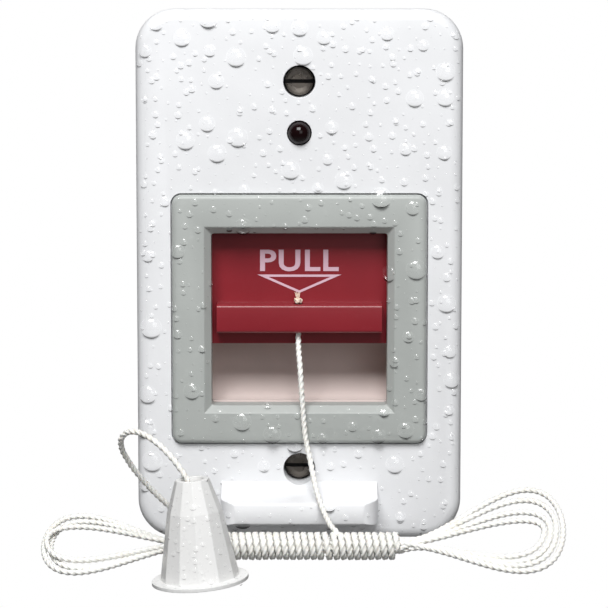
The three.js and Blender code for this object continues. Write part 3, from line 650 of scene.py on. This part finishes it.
def screw_tree():
    """Head with a straight slot whose walls and floor carry painted shade and dirt, on a plain shank along
    local Z, set on each point of the mesh.
    """
    tree = bpy.data.node_groups.new("slotted_screw", "GeometryNodeTree")
    face = tree.interface
    face.new_socket("Places", in_out="INPUT", socket_type="NodeSocketGeometry")
    measures = {"Head Radius": 0.003, "Head Height": 0.002, "Shank Radius": 0.0015, "Shank Length": 0.01,
                "Slot Width": 0.001, "Slot Depth": 0.001, "Crown": 0.0003}
    for name, value in measures.items():
        face.new_socket(name, in_out="INPUT", socket_type="NodeSocketFloat").default_value = value
    face.new_socket("Direction", in_out="INPUT", socket_type="NodeSocketVector")
    face.new_socket("Metal", in_out="INPUT", socket_type="NodeSocketMaterial")
    face.new_socket("Slot Dirt", in_out="INPUT", socket_type="NodeSocketMaterial")
    face.new_socket("Screws", in_out="OUTPUT", socket_type="NodeSocketGeometry")
    start, end = tree.nodes.new("NodeGroupInput"), tree.nodes.new("NodeGroupOutput")
    link = tree.links.new

    def math_node(kind, a, b):
        node = tree.nodes.new("ShaderNodeMath")
        node.operation = kind
        for socket, value in zip(node.inputs, (a, b)):
            if isinstance(value, (int, float)):
                socket.default_value = value
            else:
                link(value, socket)
        return node.outputs[0]

    def upward(z):
        node = tree.nodes.new("ShaderNodeCombineXYZ")
        link(z, node.inputs["Z"])
        return node.outputs[0]

    def moved(geometry, z):
        node = tree.nodes.new("GeometryNodeTransform")
        link(geometry, node.inputs["Geometry"])
        link(upward(z), node.inputs["Translation"])
        return node.outputs[0]

    def drum(radius, depth, top_radius=None):
        node = tree.nodes.new("GeometryNodeMeshCone")
        node.inputs["Vertices"].default_value = 32
        link(top_radius or radius, node.inputs["Radius Top"])
        link(radius, node.inputs["Radius Bottom"])
        link(depth, node.inputs["Depth"])
        return node.outputs["Mesh"]

    head_r, head_h = start.outputs["Head Radius"], start.outputs["Head Height"]
    crown = start.outputs["Crown"]
    side_h = math_node("SUBTRACT", head_h, crown)
    lower = moved(drum(head_r, side_h), math_node("MULTIPLY", head_h, -1))
    third = math_node("MULTIPLY", crown, 0.34)
    shoulder = math_node("MULTIPLY", head_r, 0.955)
    knee = math_node("MULTIPLY", head_r, 0.82)
    rim = moved(drum(head_r, third, shoulder), math_node("MULTIPLY", crown, -1))
    bend = moved(drum(shoulder, third, knee), math_node("MULTIPLY", crown, -0.66))
    dome = moved(drum(knee, third, math_node("MULTIPLY", head_r, 0.5)), math_node("MULTIPLY", crown, -0.34))
    below = math_node("MULTIPLY", math_node("ADD", head_h, start.outputs["Shank Length"]), -1)
    shank_l = math_node("ADD", start.outputs["Shank Length"], math_node("MULTIPLY", head_h, 0.3))
    shank = moved(drum(start.outputs["Shank Radius"], shank_l), below)
    whole = tree.nodes.new("GeometryNodeMeshBoolean")
    whole.operation = "UNION"
    whole.solver = "EXACT"
    for part in (lower, rim, bend, dome, shank):
        link(part, whole.inputs["Mesh 2"])
    blade = tree.nodes.new("GeometryNodeMeshCube")
    size = tree.nodes.new("ShaderNodeCombineXYZ")
    link(math_node("MULTIPLY", head_r, 3), size.inputs["X"])
    link(start.outputs["Slot Width"], size.inputs["Y"])
    link(math_node("MULTIPLY", start.outputs["Slot Depth"], 2), size.inputs["Z"])
    link(size.outputs[0], blade.inputs["Size"])
    cut = tree.nodes.new("GeometryNodeMeshBoolean")
    cut.operation = "DIFFERENCE"
    cut.solver = "EXACT"
    # Painted shade, partly dirt: the cutter's faces become the slot's walls and floor and keep the near-black
    # slot material.
    shaded_slot_blade = tree.nodes.new("GeometryNodeSetMaterial")
    link(blade.outputs["Mesh"], shaded_slot_blade.inputs["Geometry"])
    link(start.outputs["Slot Dirt"], shaded_slot_blade.inputs["Material"])
    link(whole.outputs["Mesh"], cut.inputs["Mesh 1"])
    link(shaded_slot_blade.outputs["Geometry"], cut.inputs["Mesh 2"])
    stand = tree.nodes.new("GeometryNodeInstanceOnPoints")
    link(start.outputs["Places"], stand.inputs["Points"])
    link(cut.outputs["Mesh"], stand.inputs["Instance"])
    aim = tree.nodes.new("FunctionNodeAlignRotationToVector")
    aim.axis = "Z"
    link(start.outputs["Direction"], aim.inputs["Vector"])
    link(aim.outputs["Rotation"], stand.inputs["Rotation"])
    real = tree.nodes.new("GeometryNodeRealizeInstances")
    link(stand.outputs["Instances"], real.inputs["Geometry"])
    in_slot = tree.nodes.new("GeometryNodeMaterialSelection")
    link(start.outputs["Slot Dirt"], in_slot.inputs["Material"])
    bare = tree.nodes.new("FunctionNodeBooleanMath")
    bare.operation = "NOT"
    link(in_slot.outputs["Selection"], bare.inputs[0])
    finish = tree.nodes.new("GeometryNodeSetMaterial")
    link(real.outputs["Geometry"], finish.inputs["Geometry"])
    link(bare.outputs[0], finish.inputs["Selection"])
    link(start.outputs["Metal"], finish.inputs["Material"])
    link(finish.outputs["Geometry"], end.inputs["Screws"])
    return tree


screw_nodes = screw_tree()


def screws(name, heads, direction, sizes, metal, replaced):
    """One row of like screws; heads are the middles of their outer faces."""
    mesh = bpy.data.meshes.new(name + "_places")
    mesh.from_pydata(heads, [], [])
    marker = bpy.data.objects.new(name + "_places", mesh)
    bpy.context.scene.collection.objects.link(marker)
    grower = marker.modifiers.new("slotted_screw", "NODES")
    grower.node_group = screw_nodes
    inputs = [item for item in screw_nodes.interface.items_tree if item.in_out == "INPUT"]
    sockets = {item.name: item.identifier for item in inputs}
    for label, value in sizes.items():
        grower[sockets[label]] = value
    grower[sockets["Direction"]] = direction
    grower[sockets["Metal"]] = metal
    grower[sockets["Slot Dirt"]] = slot_shade_and_dirt
    bpy.context.view_layer.update()
    made = bpy.data.meshes.new_from_object(marker.evaluated_get(bpy.context.evaluated_depsgraph_get()))
    made.name = name
    bpy.data.objects.remove(marker)
    piece = bpy.data.objects.new(name, made)
    bpy.context.scene.collection.objects.link(piece)
    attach(piece, "root")
    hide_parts(*replaced)
    return piece


# Near-black slot walls and floor: painted shade for the deep narrow slot, partly dirt.
slot_shade_and_dirt = moulded("screw_slot_shade_and_dirt", (26, 23, 20), 0.6, grain=1600, depth=0.00003, blotch=0.2)
dark_steel = moulded("screw_dark_steel", (158, 150, 141), 0.3, grain=1300, depth=0.00002, blotch=0.25,
                     metal=0.9, scuff=0.8)
plain_steel = moulded("screw_plated_steel", (176, 176, 172), 0.3, grain=1300, depth=0.00001, metal=1.0,
                      scuff=0.8)


def middle_front(node):
    low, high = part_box(node)
    return ((low.x + high.x) / 2, low.y, (low.z + high.z) / 2)


def middle_back(node):
    low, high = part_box(node)
    return ((low.x + high.x) / 2, high.y, (low.z + high.z) / 2)


def screw_sizes(head, height, shank, length, slot_width, slot_depth, crown):
    return {"Head Radius": head, "Head Height": height, "Shank Radius": shank, "Shank Length": length,
            "Slot Width": slot_width, "Slot Depth": slot_depth, "Crown": crown}


cover_screws = ["mounting_screw_top", "mounting_screw_bottom"]
heads = [middle_front(n) for n in cover_screws]
cover_screw_sizes = screw_sizes(0.0031, 0.0024, 0.0017, 0.0125, 0.0008, 0.0014, 0.0012)
screws("cover_screws", heads, (0, -1, 0), cover_screw_sizes, dark_steel, cover_screws)
housing_screws = ["rear_screw_1", "rear_screw_2", "rear_screw_3", "rear_screw_4"]
back_low, back_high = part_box("rear_screw_1")
head_radius = (back_high.x - back_low.x) / 2
heads = [middle_back(n) for n in housing_screws]
head_height = 0.0014
shank_length = back_high.y - back_low.y - head_height
housing_screw_sizes = screw_sizes(head_radius, head_height, 0.0011, shank_length, 0.0006, 0.0006, 0.0003)
screws("housing_screws", heads, (0, 1, 0), housing_screw_sizes, plain_steel, housing_screws)

# ---- Housing and works behind the cover
# A grey moulded box screwed to the cover's back, with a foam gasket round its mouth and, inside, the
# board with its limit switch, the lamp's leads, the clamp block for the house wires and two return springs.
housing_grey = moulded("housing_grey_plastic", (96, 99, 102), 0.5, grain=1800)
eased("rear_housing", housing_grey, "root", ease=0.0002)
gasket_foam = moulded("gasket_black_foam", (64, 64, 66), 0.95, grain=3000, depth=0.00006)
eased("wall_gasket", gasket_foam, "root", ease=0.00015)
block_grey = moulded("clamp_block_plastic", (70, 72, 74), 0.45)
eased("terminal_block", block_grey, "root", ease=0.00012)
board_green = moulded("board_green_laminate", (38, 92, 58), 0.4)
switch_black = moulded("switch_black_plastic", (28, 28, 30), 0.4)
spring_steel = moulded("spring_steel_wire", (150, 150, 148), 0.3, metal=1.0, flow=(1, 1, 6))
pin_brass = moulded("pin_brass", (196, 160, 92), 0.34, metal=1.0)
plunger_white = moulded("plunger_white_plastic", (214, 212, 206), 0.4)
inner_finish = {
    "circuit_board": board_green, "switch_body": switch_black, "switch_lever": spring_steel,
    "switch_plunger": plunger_white, "switch_terminal_1": pin_brass, "switch_terminal_2": pin_brass,
    "switch_terminal_3": pin_brass, "terminal_screw_1": plain_steel, "terminal_screw_2": plain_steel,
    "terminal_screw_3": plain_steel, "terminal_screw_4": plain_steel, "board_screw_left": plain_steel,
    "board_screw_right": plain_steel, "lamp_lead_left": lead_steel, "lamp_lead_right": lead_steel,
    "detent_spring_left": spring_steel, "detent_spring_right": spring_steel,
    "screw_seal_top": seal_black, "screw_seal_bottom": seal_black,
}
for n, material in inner_finish.items():
    nodes[n].data.materials.clear()
    nodes[n].data.materials.append(material)

# ---- Water drops
# The switch is shown wet, as if in a bathroom. The drops are clear water and no part of the switch.
# Geometry Nodes scatter flattened beads over the surfaces that face the room.


def drop_water():
    """Clear water that lets light through and gleams at a slant; its lower edge is darkened by painted shade,
    as if lit from above.
    """
    material = bpy.data.materials.new("drop_water")
    material.use_nodes = True
    tree = material.node_tree
    tree.nodes.clear()
    face = tree.nodes.new("ShaderNodeNewGeometry")
    parts = tree.nodes.new("ShaderNodeSeparateXYZ")
    tree.links.new(face.outputs["Normal"], parts.inputs["Vector"])
    outward = tree.nodes.new("ShaderNodeMapRange")
    outward.inputs["To Min"].default_value = 1
    outward.inputs["To Max"].default_value = -1
    tree.links.new(face.outputs["Backfacing"], outward.inputs["Value"])
    height = tree.nodes.new("ShaderNodeMath")
    height.operation = "MULTIPLY"
    tree.links.new(parts.outputs["Z"], height.inputs[0])
    tree.links.new(outward.outputs["Result"], height.inputs[1])
    upward = tree.nodes.new("ShaderNodeMapRange")
    upward.inputs["From Min"].default_value = -1
    tree.links.new(height.outputs["Value"], upward.inputs["Value"])
    # Painted shade: the see-through colour goes dark where the bead's surface faces down and stays clear where
    # it faces up, as if lit from above.
    ramp = tree.nodes.new("ShaderNodeValToRGB")
    painted_shade_stops = [(0.0, 0.05), (0.12, 0.3), (0.26, 0.95), (0.5, 1.0), (0.85, 1.0), (1.0, 0.97)]
    ramp.color_ramp.elements.remove(ramp.color_ramp.elements[1])
    for i, (place, shade) in enumerate(painted_shade_stops):
        stop = ramp.color_ramp.elements[0] if i == 0 else ramp.color_ramp.elements.new(place)
        stop.color = (shade, shade, shade, 1)
    tree.links.new(upward.outputs["Result"], ramp.inputs["Fac"])
    clear = tree.nodes.new("ShaderNodeBsdfTransparent")
    tree.links.new(ramp.outputs["Color"], clear.inputs["Color"])
    gleam = tree.nodes.new("ShaderNodeBsdfGlossy")
    gleam.inputs["Roughness"].default_value = 0.16
    gleam.inputs["Color"].default_value = (0.06, 0.06, 0.06, 1)
    both = tree.nodes.new("ShaderNodeAddShader")
    tree.links.new(clear.outputs["BSDF"], both.inputs[0])
    tree.links.new(gleam.outputs["BSDF"], both.inputs[1])
    out = tree.nodes.new("ShaderNodeOutputMaterial")
    tree.links.new(both.outputs["Shader"], out.inputs["Surface"])
    return material


def bead_tree():
    """Flattened beads of random size, some way apart, on whatever lies behind an upright rectangle."""
    tree = bpy.data.node_groups.new("beads", "GeometryNodeTree")
    face = tree.interface
    face.new_socket("Wet Surface", in_out="INPUT", socket_type="NodeSocketGeometry")
    measures = {"Width": 0.07, "Height": 0.11, "Apart": 0.004, "Smallest": 0.0003, "Largest": 0.001}
    for name, value in measures.items():
        face.new_socket(name, in_out="INPUT", socket_type="NodeSocketFloat").default_value = value
    face.new_socket("Middle", in_out="INPUT", socket_type="NodeSocketVector")
    face.new_socket("Seed", in_out="INPUT", socket_type="NodeSocketInt").default_value = 1
    face.new_socket("Water", in_out="INPUT", socket_type="NodeSocketMaterial")
    face.new_socket("Beads", in_out="OUTPUT", socket_type="NodeSocketGeometry")
    start, end = tree.nodes.new("NodeGroupInput"), tree.nodes.new("NodeGroupOutput")
    link = tree.links.new
    sheet = tree.nodes.new("GeometryNodeMeshGrid")
    sheet.inputs["Vertices X"].default_value = 2
    sheet.inputs["Vertices Y"].default_value = 2
    link(start.outputs["Width"], sheet.inputs["Size X"])
    link(start.outputs["Height"], sheet.inputs["Size Y"])
    upright = tree.nodes.new("GeometryNodeTransform")
    upright.inputs["Rotation"].default_value = (math.pi / 2, 0, 0)
    link(sheet.outputs["Mesh"], upright.inputs["Geometry"])
    link(start.outputs["Middle"], upright.inputs["Translation"])
    scatter = tree.nodes.new("GeometryNodeDistributePointsOnFaces")
    scatter.distribute_method = "POISSON"
    scatter.inputs["Density Max"].default_value = 1500000
    link(upright.outputs["Geometry"], scatter.inputs["Mesh"])
    link(start.outputs["Apart"], scatter.inputs["Distance Min"])
    link(start.outputs["Seed"], scatter.inputs["Seed"])
    fall = tree.nodes.new("GeometryNodeRaycast")
    link(start.outputs["Wet Surface"], fall.inputs["Target Geometry"])
    fall.inputs["Ray Direction"].default_value = (0, 1, 0)
    fall.inputs["Ray Length"].default_value = 0.2
    keep = tree.nodes.new("GeometryNodeCaptureAttribute")
    keep.capture_items.new("VECTOR", "normal")
    keep.capture_items.new("BOOLEAN", "hit")
    keep.capture_items.new("VECTOR", "place")
    link(scatter.outputs["Points"], keep.inputs["Geometry"])
    link(fall.outputs["Hit Normal"], keep.inputs["normal"])
    link(fall.outputs["Is Hit"], keep.inputs["hit"])
    link(fall.outputs["Hit Position"], keep.inputs["place"])
    settle = tree.nodes.new("GeometryNodeSetPosition")
    link(keep.outputs["Geometry"], settle.inputs["Geometry"])
    link(keep.outputs["place"], settle.inputs["Position"])
    aim = tree.nodes.new("FunctionNodeAlignRotationToVector")
    aim.axis = "Z"
    link(keep.outputs["normal"], aim.inputs["Vector"])
    pick = tree.nodes.new("FunctionNodeRandomValue")
    pick.data_type = "FLOAT"
    link(start.outputs["Seed"], pick.inputs["Seed"])
    skew = tree.nodes.new("ShaderNodeMath")
    skew.operation = "POWER"
    link(pick.outputs[1], skew.inputs[0])
    skew.inputs[1].default_value = 2.2
    size = tree.nodes.new("ShaderNodeMapRange")
    link(skew.outputs[0], size.inputs["Value"])
    link(start.outputs["Smallest"], size.inputs["To Min"])
    link(start.outputs["Largest"], size.inputs["To Max"])
    flat = tree.nodes.new("ShaderNodeVectorMath")
    flat.operation = "SCALE"
    flat.inputs[0].default_value = (1, 1, 0.45)
    link(size.outputs["Result"], flat.inputs["Scale"])
    ball = tree.nodes.new("GeometryNodeMeshIcoSphere")
    ball.inputs["Radius"].default_value = 1
    ball.inputs["Subdivisions"].default_value = 3
    smooth = tree.nodes.new("GeometryNodeSetShadeSmooth")
    link(ball.outputs["Mesh"], smooth.inputs["Geometry"])
    stand = tree.nodes.new("GeometryNodeInstanceOnPoints")
    link(settle.outputs["Geometry"], stand.inputs["Points"])
    steep = tree.nodes.new("ShaderNodeSeparateXYZ")
    link(keep.outputs["normal"], steep.inputs["Vector"])
    faces_room = tree.nodes.new("FunctionNodeCompare")
    faces_room.operation = "LESS_THAN"
    link(steep.outputs["Y"], faces_room.inputs[0])
    faces_room.inputs[1].default_value = -0.4
    wanted = tree.nodes.new("FunctionNodeBooleanMath")
    wanted.operation = "AND"
    link(keep.outputs["hit"], wanted.inputs[0])
    link(faces_room.outputs[0], wanted.inputs[1])
    link(wanted.outputs[0], stand.inputs["Selection"])
    link(aim.outputs["Rotation"], stand.inputs["Rotation"])
    link(smooth.outputs["Geometry"], stand.inputs["Instance"])
    link(flat.outputs[0], stand.inputs["Scale"])
    real = tree.nodes.new("GeometryNodeRealizeInstances")
    link(stand.outputs["Instances"], real.inputs["Geometry"])
    finish = tree.nodes.new("GeometryNodeSetMaterial")
    link(real.outputs["Geometry"], finish.inputs["Geometry"])
    link(start.outputs["Water"], finish.inputs["Material"])
    link(finish.outputs["Geometry"], end.inputs["Beads"])
    return tree


water = drop_water()
beads = bead_tree()
bead_inputs = [item for item in beads.interface.items_tree if item.in_out == "INPUT"]
bead_sockets = {item.name: item.identifier for item in bead_inputs}


def wet(name, pieces, body, middle, width, height, apart, smallest, largest, seed):
    """Beads of water on the pieces' finished skins, carried by one body."""
    shape = bmesh.new()
    depsgraph = bpy.context.evaluated_depsgraph_get()
    for piece in pieces:
        skin = bpy.data.meshes.new_from_object(bpy.data.objects[piece].evaluated_get(depsgraph))
        shape.from_mesh(skin)
        bpy.data.meshes.remove(skin)
    mesh = bpy.data.meshes.new(name + "_skin")
    shape.to_mesh(mesh)
    shape.free()
    carrier = bpy.data.objects.new(name + "_skin", mesh)
    bpy.context.scene.collection.objects.link(carrier)
    grower = carrier.modifiers.new("beads", "NODES")
    grower.node_group = beads
    settings = {"Width": width, "Height": height, "Middle": middle, "Apart": apart, "Smallest": smallest,
                "Largest": largest, "Seed": seed, "Water": water}
    for label, value in settings.items():
        grower[bead_sockets[label]] = value
    bpy.context.view_layer.update()
    made = bpy.data.meshes.new_from_object(carrier.evaluated_get(bpy.context.evaluated_depsgraph_get()))
    bpy.data.objects.remove(carrier)
    drops = bpy.data.objects.new(name, made)
    bpy.context.scene.collection.objects.link(drops)
    drops.parent = frame["bodies"][body]


fixed_skins = ["front_cover_worked", "bezel_frame_worked"]
cover_middle = (0.0, -0.04, 0.0572)
wet("large_drops", fixed_skins, "root", cover_middle, 0.067, 0.111, 0.0054, 0.0007, 0.0024, 4)
wet("small_drops", fixed_skins, "root", cover_middle, 0.068, 0.112, 0.0020, 0.00018, 0.00085, 9)
bell_low, bell_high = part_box("bell_pendant")
bell_middle = ((bell_low.x + bell_high.x) / 2, -0.08, (bell_low.z + bell_high.z) / 2)
bell_width, bell_height = bell_high.x - bell_low.x, bell_high.z - bell_low.z
wet("bell_drops", ["bell_pendant_worked"], "bell", bell_middle, bell_width, bell_height,
    0.0012, 0.00016, 0.0007, 7)
